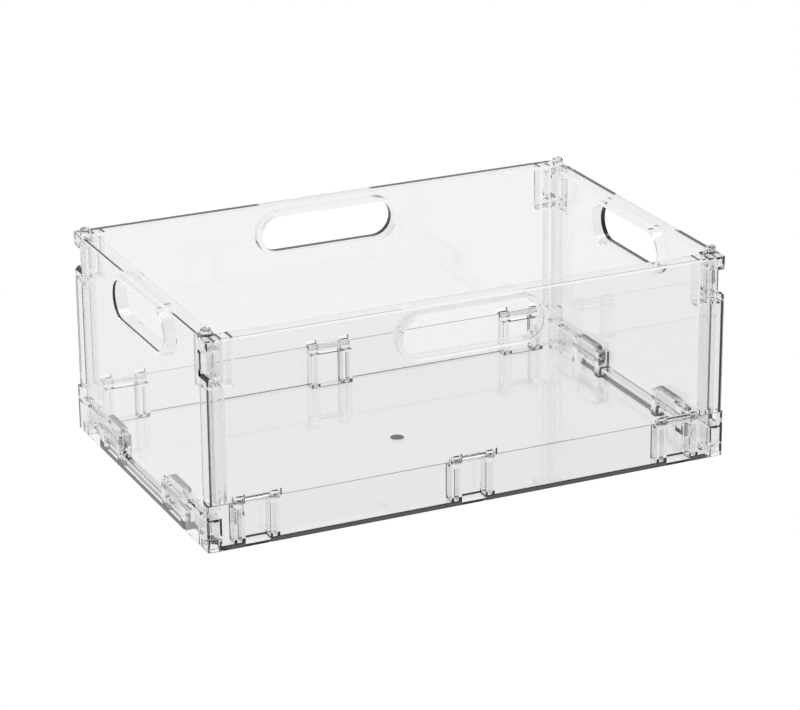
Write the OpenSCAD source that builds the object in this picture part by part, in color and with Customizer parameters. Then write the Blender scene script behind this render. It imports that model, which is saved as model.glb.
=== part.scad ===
// Folding storage crate in clear acrylic, open at the top, with a slot handle in each wall.
// The end walls fold inwards first and lie on the floor, and the long walls fold over them.
// X runs along the long side, Y across and Z up, from the table at the middle of the footprint.

/* [Overall] */
// Length of the base tray
base_l = 404; // [340:2:480]
// Width of the base tray
base_w = 260; // [260:2:330]
// Height of the walls above the table
wall_top = 154; // [146:1:154]

/* [Mouldings] */
// Thickness of the wall panels
wall_t = 2.5; // [2:0.1:3]
// Depth of the flange that stiffens each wall's edges
flange_d = 12; // [10:0.5:12.5]
// Thickness of the flanges
flange_t = 2.5; // [1.8:0.1:3]
// Thickness of the floor
floor_t = 3; // [2.4:0.1:4]
// Thickness of the ribs, webs and cored blocks
rib_t = 2; // [1.6:0.1:2.2]
// Gap between two walls, and between a wall and the base
side_gap = 0.3; // [0.3:0.05:0.5]

/* [Base rim] */
// Height of the rim along the long sides
rim_h = 34; // [34:0.5:36]
// Thickness of that rim
rim_t = 2.5; // [2:0.1:2.8]
// Thickness of the base's end faces
end_t = 2; // [1.6:0.1:2.4]
// Height of the shoulders beside the end hinges
shoulder_h = 23.5; // [22:0.25:23.5]
// Height of the low sill between the end hinges
sill_h = 10; // [8:0.25:10.5]
// Width of the low sill, from the end face inwards
sill_w = 8; // [6.5:0.5:9]
// Length of the tall lip at each corner of the end faces
corner_lip = 8.5; // [7:0.5:10]
// Radius of the base's upright corners
corner_r = 1.5; // [1:0.1:2]

/* [Long wall hinges] */
// Distance from one hinge to the next
long_pitch = 165; // [120:1:168]
// Height of the hinge line
long_axis_z = 33; // [32.8:0.1:33.5]
// Radius of the knuckles and ears
long_knuckle_r = 3.5; // [3.2:0.1:3.6]
// Length of the knuckle on the wall
long_knuckle_l = 18.4; // [14:0.2:22]
// Length of each ear on the base
long_ear_l = 7.5; // [6.5:0.5:9]
// Depth of the hinge box under the ears
long_box_d = 12; // [10:0.5:13]
// Height of the hinge box
long_box_h = 30; // [26:0.5:30]
// Height of the relief in the wall over the ears
long_relief_h = 4.6; // [4:0.2:7]

/* [End wall hinges] */
// Height of the hinge line
end_axis_z = 16; // [15.8:0.1:16.2]
// Radius of the knuckles
end_knuckle_r = 4.5; // [4:0.1:4.5]
// Distance from the middle of the end to the first ear
end_ear_y = 42; // [42:0.5:48]
// Length of the inner ear
end_ear_in = 6; // [5:0.5:8]
// Length of the knuckle on the wall
end_knuckle_l = 28.4; // [22:0.2:30]
// Length of the outer ear
end_ear_out = 9; // [6:0.5:11]
// Height of the end wall's lower edge over the shoulders
end_wall_z = 25; // [25:0.25:28]
// Height of the end wall's lower edge between the hinges
end_mid_z = 13.5; // [13.5:0.25:14.5]

/* [Hinge pins] */
// Radius of the hinge pins
pin_r = 1.5; // [1.2:0.1:1.8]
// Clearance round the hinge pins
pin_gap = 0.05; // [0.03:0.01:0.1]
// How far each pin's end stays inside its ear
pin_inset = 0.5; // [0.3:0.1:1.5]

/* [Slot handles] */
// Length of the slot in a long wall
long_slot_l = 109; // [90:1:130]
// Length of the slot in an end wall
end_slot_l = 100; // [80:1:110]
// Height of the slots
slot_h = 29; // [24:0.5:30]
// Height of the middle of the slots
slot_z = 130.5; // [118:0.5:131]
// Thickness of the collar round a slot
collar_t = 3; // [2:0.2:4]
// Depth of the collar, from the outer face
collar_d = 11; // [8:0.5:12]

/* [Corner latches] */
// Width of the corner post on a long wall
post_w = 13; // [11:0.5:15]
// Depth of the corner post
post_d = 12.5; // [12.5:0.1:12.6]
// Width of the latch housing at the top of the post
latch_w = 21; // [18:0.5:24]
// Height of the latch housing
latch_h = 36; // [34:0.5:38]
// Reach of the thin leaf that covers the end wall's tongue
leaf_d = 20.4; // [18:0.2:22]
// Thickness of that leaf
leaf_t = 1.7; // [1.4:0.1:1.8]
// Height of the window's lower edge below the top of the wall
window_low = 27; // [25:0.5:29]
// Height of the window
window_h = 17; // [14:0.5:18]
// Width of the window on the long wall's face
window_w = 5; // [3:0.5:6]
// Width of the leaf's rib that is left beside the window
window_rib = 5.4; // [4:0.2:6]
// Height and width of the snap lug on the end wall's tongue
lug_h = 12; // [8:0.5:14]

/* [Stacking] */
// Radius of the stacking studs
stud_r = 4; // [3:0.1:4.5]
// Height of the stacking studs
stud_h = 5; // [3:0.5:5]
// Distance of each stud from the end of the wall
stud_in_x = 5.2; // [4.8:0.1:6]
// Distance of each stud from the face of the long wall
stud_in_y = 11.5; // [9:0.1:11.5]
// Clearance round a stud in the socket of the crate above
stud_gap = 0.3; // [0.2:0.05:0.5]
// Thickness of the wall round each socket
socket_t = 1.9; // [1.5:0.1:2.5]

/* [Hidden] */
$fn = 64;

clear = [0.93, 0.95, 0.95, 0.45];
pin_clear = [0.82, 0.86, 0.87, 0.7];

// A cut runs past the face that it opens by this much
past = 1;
half_l = base_l / 2;
half_w = base_w / 2;
// Outer face of the end walls, which is also where the long walls end
wall_x = half_l - end_t - side_gap;
long_wall_z = rim_h + side_gap;

long_axis_y = half_w - long_knuckle_r;
long_hinges = [-long_pitch, 0, long_pitch];
long_ear_x = long_knuckle_l / 2 + side_gap;
long_station = long_ear_x + long_ear_l;

end_axis_x = wall_x - end_knuckle_r;
end_knuckle_y = end_ear_y + end_ear_in + side_gap;
end_outer_ear_y = end_knuckle_y + end_knuckle_l + side_gap;
end_station = end_outer_ear_y + end_ear_out;
// Inner face of the ears and shoulders, which the end wall's edge swings over
block_x = wall_x - end_knuckle_r * 2 + side_gap;
// Half width of the end wall, which stands between the corner posts
end_half_y = half_w - post_d - side_gap;

latch_z = wall_top - latch_h;
leaf_x = wall_x - leaf_t;
leaf_y = half_w - leaf_d;
window_z = wall_top - window_low;
stud_x = wall_x - stud_in_x;
stud_y = half_w - stud_in_y;
// Edge of the top plate that carries the stud
plate_y = stud_y - stud_r - side_gap / 2;

// A bar with round ends, lying along the first axis
module slot_outline(length, height) {
    square([length - height, height], center = true);
    for (s = [-1, 1])
        translate([s * (length - height) / 2, 0])
            circle(d = height);
}

// An upright slot prism in a wall that faces +Y, between two distances from the middle
module slot_prism(length, height, from, to) {
    translate([0, to, slot_z])
        rotate([90, 0, 0])
            linear_extrude(to - from)
                slot_outline(length, height);
}

// A block from one corner to the opposite one
module block(low, high) {
    translate(low)
        cube(high - low);
}

// Both ends of the crate, drawn at +X
module at_both_ends() {
    children();
    mirror([1, 0, 0])
        children();
}

// Both long sides of the crate, drawn at +Y
module at_both_sides() {
    children();
    mirror([0, 1, 0])
        children();
}

module base_outline() {
    square([base_l - 2 * corner_r, base_w], center = true);
    square([base_l, base_w - 2 * corner_r], center = true);
    for (sx = [-1, 1])
        for (sy = [-1, 1])
            translate([sx * (half_l - corner_r), sy * (half_w - corner_r)])
                circle(corner_r);
}

// The floor with the rim round it, cut down at the ends to the shoulders and the sill
module base_shell() {
    lip_y = half_w - corner_lip;
    difference() {
        linear_extrude(rim_h)
            base_outline();
        block([-half_l + end_t, -half_w + rim_t, floor_t], [half_l - end_t, half_w - rim_t, rim_h + past]);
        at_both_ends() {
            block([half_l - end_t - past, -lip_y, shoulder_h], [half_l + past, lip_y, rim_h + past]);
            block([half_l - end_t - past, -end_ear_y, sill_h], [half_l + past, end_ear_y, rim_h + past]);
        }
    }
}

// One hinge box on the long side at +Y: two posts with ears, and the wall between them
module long_hinge_box(x) {
    inner_y = half_w - long_box_d;
    translate([x, 0, 0]) {
        block([-long_station, inner_y, 0], [long_station, inner_y + rib_t, long_box_h]);
        for (s = [-1, 1])
            mirror([s < 0 ? 1 : 0, 0, 0]) {
                block([long_ear_x, inner_y, 0], [long_ear_x + rib_t, half_w, long_box_h]);
                block([long_station - rib_t, inner_y, 0], [long_station, half_w, long_box_h]);
                block([long_ear_x, inner_y, long_box_h - rib_t], [long_station, half_w, long_box_h]);
                block([long_ear_x, half_w - 2 * long_knuckle_r, long_box_h - rib_t],
                    [long_station, half_w, long_axis_z]);
                translate([long_ear_x, long_axis_y, long_axis_z])
                    rotate([0, 90, 0])
                        cylinder(r = long_knuckle_r, h = long_ear_l);
            }
    }
}

// The recess between the ears, open to the outside, and the bore for the pin
module long_hinge_cut(x) {
    translate([x, 0, 0]) {
        block([-long_ear_x, half_w - long_box_d + rib_t, rib_t], [long_ear_x, half_w + past, rim_h + past]);
        translate([-long_station - past, long_axis_y, long_axis_z])
            rotate([0, 90, 0])
                cylinder(r = pin_r + pin_gap, h = 2 * (long_station + past));
    }
}

// One end of the base at +X: sill, ears and shoulders, cored from below
module end_rail() {
    block([half_l - sill_w, -end_station, 0], [half_l - past, end_station, sill_h]);
    at_both_sides() {
        block([block_x, end_ear_y, 0], [half_l - past, end_ear_y + end_ear_in, shoulder_h]);
        block([block_x, end_outer_ear_y, 0], [half_l - past, end_station, shoulder_h]);
        block([block_x, end_station - past, 0], [half_l - past, half_w - past, shoulder_h]);
    }
}

module end_rail_cores() {
    core_x = half_l - end_t;
    at_both_sides() {
        block([block_x + rib_t, end_station, -past], [core_x, half_w - rim_t, shoulder_h - rib_t]);
        block([half_l - sill_w + rib_t, end_knuckle_y, -past],
            [core_x, end_outer_ear_y - side_gap, sill_h - rib_t]);
    }
    block([half_l - sill_w + rib_t, -end_ear_y, -past], [core_x, end_ear_y, sill_h - rib_t]);
}

// Round wall and rib that hold the socket for the stud of the crate below
module socket_wall() {
    at_both_sides() {
        translate([stud_x, stud_y, 0])
            cylinder(r = stud_r + stud_gap + socket_t, h = stud_h + rib_t + stud_gap);
        block([block_x, stud_y - stud_r - socket_t - rib_t, 0],
            [half_l - past, stud_y - stud_r - socket_t, shoulder_h - past]);
    }
}

module base_tray() {
    color(clear)
        difference() {
            union() {
                difference() {
                    union() {
                        base_shell();
                        at_both_ends()
                            end_rail();
                    }
                    at_both_ends()
                        end_rail_cores();
                }
                at_both_ends()
                    socket_wall();
                at_both_sides()
                    for (x = long_hinges)
                        long_hinge_box(x);
            }
            at_both_sides() {
                for (x = long_hinges)
                    long_hinge_cut(x);
                at_both_ends() {
                    translate([stud_x, stud_y, -past])
                        cylinder(r = stud_r + stud_gap, h = stud_h + stud_gap + past);
                    translate([end_axis_x, end_ear_y - past, end_axis_z])
                        rotate([-90, 0, 0])
                            cylinder(r = pin_r + pin_gap, h = end_station - end_ear_y + 2 * past);
                }
            }
        }
}

// The corner post of a long wall at +X +Y, with the latch housing at its top
module corner_post() {
    post_y = half_w - post_d;
    inner_x = wall_x - post_w;
    column_x = wall_x - window_w - rib_t;
    latch_x = wall_x - latch_w;
    block([inner_x, post_y, long_wall_z], [inner_x + rib_t, half_w, wall_top]);
    block([wall_x - rib_t, post_y, long_wall_z], [wall_x, half_w, latch_z + rib_t]);
    block([column_x, post_y + rib_t, long_wall_z], [column_x + rib_t, half_w, wall_top]);
    block([inner_x, post_y, latch_z], [column_x + rib_t, post_y + rib_t, wall_top]);
    block([latch_x, post_y, latch_z], [latch_x + rib_t, half_w, wall_top]);
    block([latch_x, post_y, latch_z], [wall_x, half_w, latch_z + rib_t]);
    block([inner_x, post_y, window_z - rib_t], [wall_x, half_w, window_z]);
    block([inner_x, post_y, window_z + window_h], [wall_x, half_w, window_z + window_h + rib_t]);
    block([leaf_x, leaf_y, latch_z], [wall_x, half_w, wall_top]);
    block([latch_x, post_y, wall_top - flange_t], [wall_x, half_w, wall_top]);
    block([stud_x - stud_r - side_gap, plate_y, wall_top - flange_t], [wall_x, half_w, wall_top]);
}

// The window wraps round the crate's corner, and its lower edge slopes outwards
module corner_window() {
    translate([wall_x - window_w, leaf_y + window_rib, window_z])
        rotate([90, 0, 90])
            linear_extrude(window_w + past)
                square([leaf_d - window_rib + past, window_h]);
    translate([wall_x - window_w, half_w + past, window_z])
        rotate([90, 0, 0])
            linear_extrude(leaf_d - window_rib + past)
                polygon([[window_w / 2, past], [window_w / 2, 0], [window_w, -window_w / 2],
                    [window_w + past, -window_w / 2], [window_w + past, past]]);
}

module stud() {
    tip = stud_h / 6;
    translate([stud_x, stud_y, wall_top - past]) {
        cylinder(r = stud_r, h = stud_h - tip + past);
        translate([0, 0, stud_h - tip + past])
            cylinder(r1 = stud_r, r2 = stud_r - tip, h = tip);
    }
}

// The wall at +Y; the front wall is its mirror image
module long_wall() {
    color(clear)
        difference() {
            union() {
                block([-wall_x, half_w - wall_t, long_wall_z], [wall_x, half_w, wall_top]);
                block([-wall_x + post_w, half_w - flange_d, wall_top - flange_t],
                    [wall_x - post_w, half_w, wall_top]);
                slot_prism(long_slot_l + 2 * collar_t, slot_h + 2 * collar_t, half_w - collar_d, half_w);
                at_both_ends() {
                    corner_post();
                    stud();
                }
                for (x = long_hinges)
                    long_knuckle(x);
            }
            slot_prism(long_slot_l, slot_h, half_w - collar_d - past, half_w + past);
            at_both_ends()
                corner_window();
            for (x = long_hinges)
                long_relief(x);
        }
}

// The knuckle hangs from the panel between two ears of the base
module long_knuckle(x) {
    translate([x - long_knuckle_l / 2, long_axis_y, long_axis_z])
        rotate([0, 90, 0])
            cylinder(r = long_knuckle_r, h = long_knuckle_l);
    block([x - long_knuckle_l / 2, half_w - wall_t, long_axis_z],
        [x + long_knuckle_l / 2, half_w, long_wall_z + long_relief_h + past]);
}

// Room for the ears in the panel, and the bore for the pin
module long_relief(x) {
    for (s = [-1, 1])
        translate([x, 0, 0])
            mirror([s < 0 ? 1 : 0, 0, 0])
                block([long_knuckle_l / 2, half_w - wall_t - past, long_wall_z - past],
                    [long_station + past, half_w + past, long_wall_z + long_relief_h]);
    translate([x - long_knuckle_l / 2 - past, long_axis_y, long_axis_z])
        rotate([0, 90, 0])
            cylinder(r = pin_r + pin_gap, h = long_knuckle_l + 2 * past);
}

// A knuckle of the end wall at +X: a round foot under a solid block
module end_knuckle() {
    translate([end_axis_x, end_knuckle_y, end_axis_z])
        rotate([-90, 0, 0])
            cylinder(r = end_knuckle_r, h = end_knuckle_l);
    block([block_x, end_knuckle_y, end_axis_z], [wall_x, end_knuckle_y + end_knuckle_l, end_wall_z + rib_t]);
}

// The side flange of the end wall, with the tongue that stands behind the long wall's leaf
module end_side() {
    tongue_x = leaf_x - side_gap;
    tongue_y = leaf_y - side_gap;
    side_x = wall_x - flange_d;
    top_z = wall_top - flange_t - side_gap;
    block([side_x, end_half_y - flange_t, end_wall_z], [wall_x, end_half_y, top_z]);
    block([tongue_x - wall_t, tongue_y - wall_t, latch_z - wall_t], [tongue_x, end_half_y, top_z]);
    block([tongue_x - past, end_half_y - rib_t, window_z + (window_h - lug_h) / 2],
        [wall_x - side_gap, end_half_y, window_z + (window_h + lug_h) / 2]);
}

// What the end wall gives up to the long wall's leaf, top plate and window rib
module end_side_cut() {
    block([leaf_x - side_gap, leaf_y - side_gap, latch_z - side_gap],
        [wall_x + past, end_half_y - rib_t, wall_top + past]);
    for (z = [[latch_z - side_gap, window_z + (window_h - lug_h) / 2],
            [window_z + (window_h + lug_h) / 2, wall_top + past]])
        block([leaf_x - side_gap, end_half_y - rib_t - past, z[0]], [wall_x + past, half_w, z[1]]);
    block([wall_x - flange_d - past, plate_y - side_gap, wall_top - flange_t - side_gap],
        [wall_x + past, half_w, wall_top + past]);
}

// The wall at +X; the left wall is its mirror image
module end_wall() {
    color(clear)
        difference() {
            union() {
                block([wall_x - wall_t, -end_half_y, end_wall_z], [wall_x, end_half_y, wall_top]);
                block([wall_x - wall_t, -end_ear_y + side_gap, end_mid_z],
                    [wall_x, end_ear_y - side_gap, end_wall_z + past]);
                block([wall_x - flange_d, -end_half_y, wall_top - flange_t], [wall_x, end_half_y, wall_top]);
                rotate([0, 0, -90])
                    slot_prism(end_slot_l + 2 * collar_t, slot_h + 2 * collar_t, wall_x - collar_d, wall_x);
                at_both_sides() {
                    end_knuckle();
                    end_side();
                }
            }
            rotate([0, 0, -90])
                slot_prism(end_slot_l, slot_h, wall_x - collar_d - past, wall_x + past);
            at_both_sides() {
                end_side_cut();
                translate([end_axis_x, end_knuckle_y - past, end_axis_z])
                    rotate([-90, 0, 0])
                        cylinder(r = pin_r + pin_gap, h = end_knuckle_l + 2 * past);
            }
        }
}

// The pin of one hinge on the long side at +Y
module long_pin(x) {
    color(pin_clear)
        translate([x - long_station + pin_inset, long_axis_y, long_axis_z])
            rotate([0, 90, 0])
                cylinder(r = pin_r, h = 2 * (long_station - pin_inset));
}

// The pin of the end hinge at +X +Y
module end_pin() {
    color(pin_clear)
        translate([end_axis_x, end_ear_y + pin_inset, end_axis_z])
            rotate([-90, 0, 0])
                cylinder(r = pin_r, h = end_station - end_ear_y - 2 * pin_inset);
}

module front_wall() {
    mirror([0, 1, 0])
        long_wall();
}

module back_wall() {
    long_wall();
}

module left_wall() {
    mirror([1, 0, 0])
        end_wall();
}

module right_wall() {
    end_wall();
}

module front_pin(x) {
    mirror([0, 1, 0])
        long_pin(x);
}

module left_pin() {
    mirror([1, 0, 0])
        end_pin();
}

base_tray();
front_wall();
back_wall();
left_wall();
right_wall();
front_pin(long_hinges[0]);  // front_pin_left
front_pin(long_hinges[1]);  // front_pin_middle
front_pin(long_hinges[2]);  // front_pin_right
long_pin(long_hinges[0]);  // back_pin_left
long_pin(long_hinges[1]);  // back_pin_middle
long_pin(long_hinges[2]);  // back_pin_right
mirror([0, 1, 0]) left_pin();  // left_pin_front
left_pin();  // left_pin_back
mirror([0, 1, 0]) end_pin();  // right_pin_front
end_pin();  // right_pin_back
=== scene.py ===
# Visual model of a folding crate in clear acrylic, seen as in its photograph.
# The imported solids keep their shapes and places. They get clear materials and broken edges.
import math

import bmesh
import bpy
from mathutils import Matrix, Vector


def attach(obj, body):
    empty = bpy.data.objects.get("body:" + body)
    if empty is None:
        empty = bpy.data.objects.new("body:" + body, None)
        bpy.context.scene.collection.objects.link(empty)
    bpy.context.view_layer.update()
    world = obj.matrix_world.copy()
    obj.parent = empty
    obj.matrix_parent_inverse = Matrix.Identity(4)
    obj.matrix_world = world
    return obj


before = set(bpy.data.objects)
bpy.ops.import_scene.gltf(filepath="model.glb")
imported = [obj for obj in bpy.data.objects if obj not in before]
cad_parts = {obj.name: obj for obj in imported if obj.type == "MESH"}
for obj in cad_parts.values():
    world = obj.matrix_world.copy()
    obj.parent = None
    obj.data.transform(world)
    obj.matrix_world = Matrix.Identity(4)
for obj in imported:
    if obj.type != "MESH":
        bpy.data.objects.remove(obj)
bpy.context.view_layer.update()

MM = 0.001

# The camera, as solved from the crate's corners in the photograph
AZIMUTH = math.radians(-24.827)
ELEVATION = math.radians(20.646)
ROLL = math.radians(-0.471)
DISTANCE = 2.3998
TARGET = Vector((0.001918, -0.002983, 0.068276))
LENS_MM = 147.4
SENSOR_MM = 36
NEAREST = 0.05
FARTHEST = 40

# Sizes of the solids that the materials and the gate mark follow
FLOOR_TOP = 3 * MM
HINGE_PITCH = 165 * MM
HINGE_BOX_HALF = 9.5 * MM
RIM_INNER = 125 * MM
# The painted dark shade line on the floor slab's foot ends here, short of the crate's corners
FOOT_SHADE_END_X = 189 * MM
FOOT_SHADE_END_Y = 82 * MM
FOOT_SHADE_FADE = 1.5 * MM

EDGE_SOFTNESS = 0.25 * MM
EDGE_ANGLE = math.radians(40)
ACRYLIC_IOR = 1.49
GATE_RADIUS = 5.2 * MM
GATE_TAPER = 0.86
GATE_HEIGHT = 0.25 * MM

# The surroundings, from behind the camera (0) to straight ahead of it (1)
SURROUNDINGS = ((0.0, "cfd0d1"), (0.62, "dcdddd"), (0.74, "eaebeb"), (0.86, "ffffff"))
STUDIO_HALF = 14
# Just under the crate, so that the two faces don't flicker
STUDIO_DROP = 0.3 * MM
# Name, place, width and height in metres, and power in watts
SOFTBOXES = (
    ("overhead_softbox", (0.2, 0.3, 1.6), (1.6, 1.2), 14),
    ("left_softbox", (-1.6, -0.5, 0.9), (0.9, 1.4), 8),
    ("right_softbox", (1.5, -1.0, 0.8), (0.5, 1.2), 5),
)
SOFTBOX_AIM = Vector((0, 0, 0.08))


def linear(hex_colour):
    """An sRGB hex colour as linear red, green, blue and one."""
    out = []
    for i in (0, 2, 4):
        c = int(hex_colour[i:i + 2], 16) / 255
        out.append(c / 12.92 if c <= 0.04045 else ((c + 0.055) / 1.055) ** 2.4)
    return (*out, 1.0)


def add(tree, kind, values=None, **settings):
    """A new shader node with its settings and its sockets' values."""
    made = tree.nodes.new(kind)
    for key, value in settings.items():
        setattr(made, key, value)
    for key, value in (values or {}).items():
        made.inputs[key].default_value = value
    return made


def math_node(tree, operation, first, second=None):
    """The result of one sum on a socket, and on a second socket or number if it takes one."""
    node = add(tree, "ShaderNodeMath", operation=operation)
    tree.links.new(first, node.inputs[0])
    if isinstance(second, (int, float)):
        node.inputs[1].default_value = second
    elif second is not None:
        tree.links.new(second, node.inputs[1])
    return node.outputs[0]


def mix_shaders(tree, share, first, second):
    """The first shader, and the second where the share is 1."""
    mix = add(tree, "ShaderNodeMixShader")
    tree.links.new(share, mix.inputs["Fac"])
    tree.links.new(first, mix.inputs[1])
    tree.links.new(second, mix.inputs[2])
    return mix.outputs[0]


def empty_material(name):
    """A new material's tree with nothing but its output."""
    material = bpy.data.materials.new(name)
    material.use_nodes = True
    tree = material.node_tree
    tree.nodes.clear()
    return material, tree, add(tree, "ShaderNodeOutputMaterial")


def place_in_scene(obj):
    bpy.context.scene.collection.objects.link(obj)
    return obj


def view_basis():
    """Right, up and backward directions of the camera."""
    back = Vector((
        math.sin(AZIMUTH) * math.cos(ELEVATION),
        -math.cos(AZIMUTH) * math.cos(ELEVATION),
        math.sin(ELEVATION),
    ))
    right = (-back).cross(Vector((0, 0, 1))).normalized()
    up = right.cross(-back)
    turned_right = math.cos(ROLL) * right + math.sin(ROLL) * up
    turned_up = -math.sin(ROLL) * right + math.cos(ROLL) * up
    return turned_right, turned_up, back


def make_camera():
    right, up, back = view_basis()
    data = bpy.data.cameras.new("photo_camera")
    data.lens = LENS_MM
    data.sensor_width = SENSOR_MM
    data.clip_start = NEAREST
    data.clip_end = FARTHEST
    camera = place_in_scene(bpy.data.objects.new("photo_camera", data))
    turn = Matrix((right, up, back)).transposed().to_4x4()
    camera.matrix_world = Matrix.Translation(TARGET + DISTANCE * back) @ turn
    bpy.context.scene.camera = camera


def make_world():
    """White behind the crate, fading to grey behind the camera, so that edges get contrast."""
    world = bpy.data.worlds.new("studio")
    bpy.context.scene.world = world
    world.use_nodes = True
    tree = world.node_tree
    tree.nodes.clear()
    out = add(tree, "ShaderNodeOutputWorld")
    coords = add(tree, "ShaderNodeTexCoord")
    facing = add(tree, "ShaderNodeVectorMath", operation="DOT_PRODUCT")
    _, _, back = view_basis()
    facing.inputs[1].default_value = tuple(-back)
    tree.links.new(coords.outputs["Generated"], facing.inputs[0])
    spread = add(tree, "ShaderNodeMapRange", {"From Min": -1.0, "From Max": 1.0})
    tree.links.new(facing.outputs["Value"], spread.inputs["Value"])
    ramp = add(tree, "ShaderNodeValToRGB")
    stops = ramp.color_ramp.elements
    while len(stops) > 1:
        stops.remove(stops[-1])
    for number, (position, shade) in enumerate(SURROUNDINGS):
        stop = stops[0] if number == 0 else stops.new(position)
        stop.position = position
        stop.color = linear(shade)
    tree.links.new(spread.outputs["Result"], ramp.inputs["Fac"])
    background = add(tree, "ShaderNodeBackground", {"Strength": 1.0})
    tree.links.new(ramp.outputs["Color"], background.inputs["Color"])
    tree.links.new(background.outputs["Background"], out.inputs["Surface"])


def make_floor():
    """A plain white studio floor that shows no shadow line, as in the photograph."""
    mesh = bpy.data.meshes.new("studio_floor")
    shape = bmesh.new()
    bmesh.ops.create_grid(shape, x_segments=1, y_segments=1, size=STUDIO_HALF)
    shape.to_mesh(mesh)
    shape.free()
    floor = bpy.data.objects.new("studio_floor", mesh)
    floor.location.z = -STUDIO_DROP
    place_in_scene(floor)
    # White backdrop paper. Camera, refracted and mirror rays see it evenly white.
    material, tree, out = empty_material("white_studio_floor")
    paper = add(tree, "ShaderNodeBsdfDiffuse", {"Color": linear("f4f4f4")})
    white = add(tree, "ShaderNodeEmission", {"Color": linear("ffffff"), "Strength": 1.0})
    path = add(tree, "ShaderNodeLightPath").outputs
    seen = math_node(tree, "MAXIMUM", path["Is Camera Ray"], path["Is Transmission Ray"])
    seen = math_node(tree, "MAXIMUM", seen, path["Is Glossy Ray"])
    tree.links.new(
        mix_shaders(tree, seen, paper.outputs[0], white.outputs[0]), out.inputs["Surface"]
    )
    mesh.materials.append(material)


def soft_light(name, place, size, power):
    data = bpy.data.lights.new(name, "AREA")
    data.shape = "RECTANGLE"
    data.size, data.size_y = size
    data.energy = power
    lamp = bpy.data.objects.new(name, data)
    lamp.location = place
    way = SOFTBOX_AIM - Vector(place)
    lamp.rotation_euler = way.to_track_quat("-Z", "Y").to_euler()
    place_in_scene(lamp)


def mask(tree, value, edge, fade, above=False):
    """1 below an edge in a value, or above it, and 0 past it, with a soft change."""
    step = add(tree, "ShaderNodeMapRange", {
        "From Min": edge - fade,
        "From Max": edge + fade,
        "To Min": 0.0 if above else 1.0,
        "To Max": 1.0 if above else 0.0,
    })
    tree.links.new(value, step.inputs["Value"])
    return step.outputs["Result"]


def painted_foot_shade(tree, coords):
    """1 on the upright foot of the floor slab, where its edge is seen along its whole depth and
    gets painted dark shade.
    """
    place = add(tree, "ShaderNodeSeparateXYZ")
    tree.links.new(coords, place.inputs[0])
    facing = add(tree, "ShaderNodeSeparateXYZ")
    surface = add(tree, "ShaderNodeNewGeometry")
    tree.links.new(surface.outputs["True Normal"], facing.inputs[0])
    x = math_node(tree, "ABSOLUTE", place.outputs["X"])
    y = math_node(tree, "ABSOLUTE", place.outputs["Y"])
    tilt = math_node(tree, "ABSOLUTE", facing.outputs["Z"])
    low = mask(tree, place.outputs["Z"], FLOOR_TOP, 0.1 * MM)
    upright = mask(tree, tilt, 0.5, 0.1)
    side = mask(tree, x, FOOT_SHADE_END_X, FOOT_SHADE_FADE)
    end = mask(tree, y, FOOT_SHADE_END_Y, FOOT_SHADE_FADE)
    along = math_node(tree, "MAXIMUM", side, end)
    # The ledges under the hinge boxes stay clear, and the painted shade line goes round behind
    # them
    from_hinge = math_node(tree, "PINGPONG", x, HINGE_PITCH / 2)
    beside = mask(tree, from_hinge, HINGE_BOX_HALF, 0.3 * MM, above=True)
    behind = mask(tree, y, RIM_INNER, 0.5 * MM)
    off_ledge = math_node(tree, "MAXIMUM", beside, behind)
    shade_band = math_node(tree, "MULTIPLY", low, upright)
    shade_band = math_node(tree, "MULTIPLY", shade_band, along)
    return math_node(tree, "MULTIPLY", shade_band, off_ledge)


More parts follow.
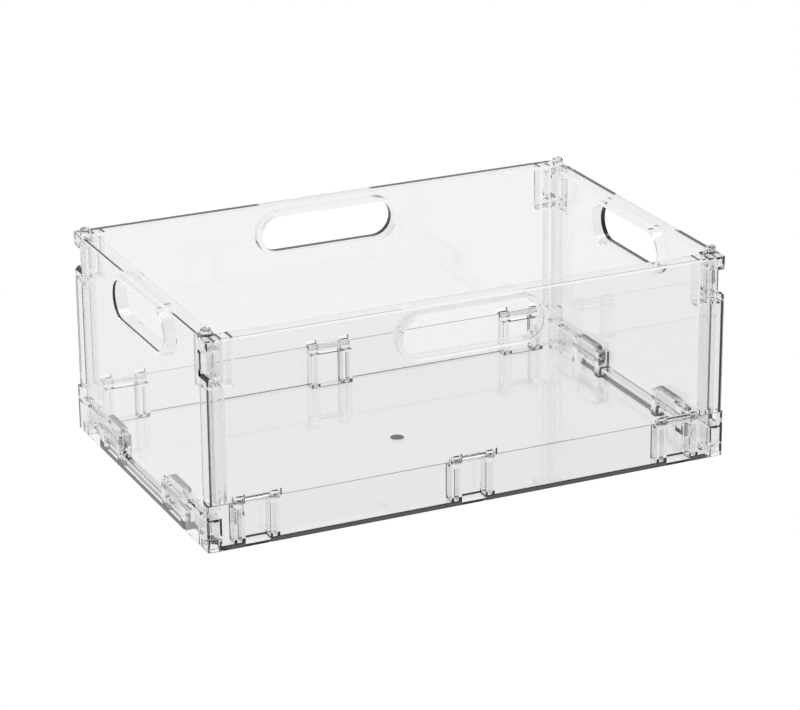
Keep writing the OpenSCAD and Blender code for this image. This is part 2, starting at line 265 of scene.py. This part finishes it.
def clear_acrylic(name, tint, haze=0.02, foot_shade_tint=None):
    """Polished clear moulding with faint flow ripples, and a painted dark shade line on the
    slab's foot if asked.
    """
    material, tree, out = empty_material(name)
    coords = add(tree, "ShaderNodeTexCoord").outputs["Object"]
    skin = add(tree, "ShaderNodeBsdfPrincipled", {
        "Base Color": linear(tint),
        "IOR": ACRYLIC_IOR,
        "Transmission Weight": 1.0,
    })
    # Slow waves that the melt leaves as it fills the mould: some haze, and a slight relief
    flow = add(tree, "ShaderNodeTexNoise", {"Scale": 9.0, "Detail": 2.0, "Roughness": 0.4})
    tree.links.new(coords, flow.inputs["Vector"])
    rough = add(tree, "ShaderNodeMapRange", {"To Min": haze * 0.4, "To Max": haze})
    tree.links.new(flow.outputs["Fac"], rough.inputs["Value"])
    tree.links.new(rough.outputs["Result"], skin.inputs["Roughness"])
    ripple = add(tree, "ShaderNodeBump", {"Strength": 0.03, "Distance": 0.4 * MM})
    tree.links.new(flow.outputs["Fac"], ripple.inputs["Height"])
    tree.links.new(ripple.outputs["Normal"], skin.inputs["Normal"])
    result = skin.outputs["BSDF"]
    if foot_shade_tint:
        # Painted shade: dark acrylic put where the slab's edge only looks dark through
        # refraction
        dark = add(tree, "ShaderNodeBsdfPrincipled", {
            "Base Color": linear(foot_shade_tint),
            "Roughness": 0.12,
            "IOR": ACRYLIC_IOR,
        })
        result = mix_shaders(tree, painted_foot_shade(tree, coords), result, dark.outputs[0])
    tree.links.new(result, out.inputs["Surface"])
    return material


def dress(node, material, soft=True):
    """A CAD node's material, and edges broken as a mould breaks them."""
    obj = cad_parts[node]
    obj.data.materials.clear()
    obj.data.materials.append(material)
    for slot in obj.material_slots:
        slot.material = material
    if soft:
        edge = obj.modifiers.new("softened_edges", "BEVEL")
        edge.width = EDGE_SOFTNESS
        edge.segments = 2
        edge.limit_method = "ANGLE"
        edge.angle_limit = EDGE_ANGLE
        edge.use_clamp_overlap = True


def gate_mark(material):
    """The round mark at the middle of the floor, where the mould was filled."""
    mesh = bpy.data.meshes.new("gate_mark")
    shape = bmesh.new()
    bmesh.ops.create_cone(
        shape,
        cap_ends=True,
        segments=40,
        radius1=GATE_RADIUS,
        radius2=GATE_RADIUS * GATE_TAPER,
        depth=GATE_HEIGHT,
    )
    bmesh.ops.translate(shape, verts=shape.verts, vec=(0, 0, FLOOR_TOP + GATE_HEIGHT / 2))
    shape.to_mesh(mesh)
    shape.free()
    mark = place_in_scene(bpy.data.objects.new("gate_mark", mesh))
    mesh.materials.append(material)
    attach(mark, "crate")


def main():
    bpy.context.scene.view_settings.view_transform = "Standard"
    make_camera()
    make_world()
    make_floor()
    for softbox in SOFTBOXES:
        soft_light(*softbox)
    # Injection-moulded clear acrylic: the walls, and the base, which is thicker and greyer
    wall = clear_acrylic("clear_acrylic_wall", "f5f4f5")
    # The base's foot gets painted dark shade in 544d51, in place of the darkness its edge shows
    base = clear_acrylic("clear_acrylic_base", "f3f2f3", foot_shade_tint="544d51")
    # Clear acrylic rod of the pins, a shade denser and less polished
    pin = clear_acrylic("clear_acrylic_pin", "eef0ef", haze=0.06)
    # The same acrylic, left dull where the gate was cut off
    mark = clear_acrylic("gate_mark_acrylic", "f3f2f2", haze=0.18)
    for name in ("front_wall", "back_wall", "left_wall", "right_wall"):
        dress(name, wall)
    dress("base_tray", base)
    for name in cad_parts:
        if "_pin_" in name:
            dress(name, pin, soft=False)
    gate_mark(mark)


main()
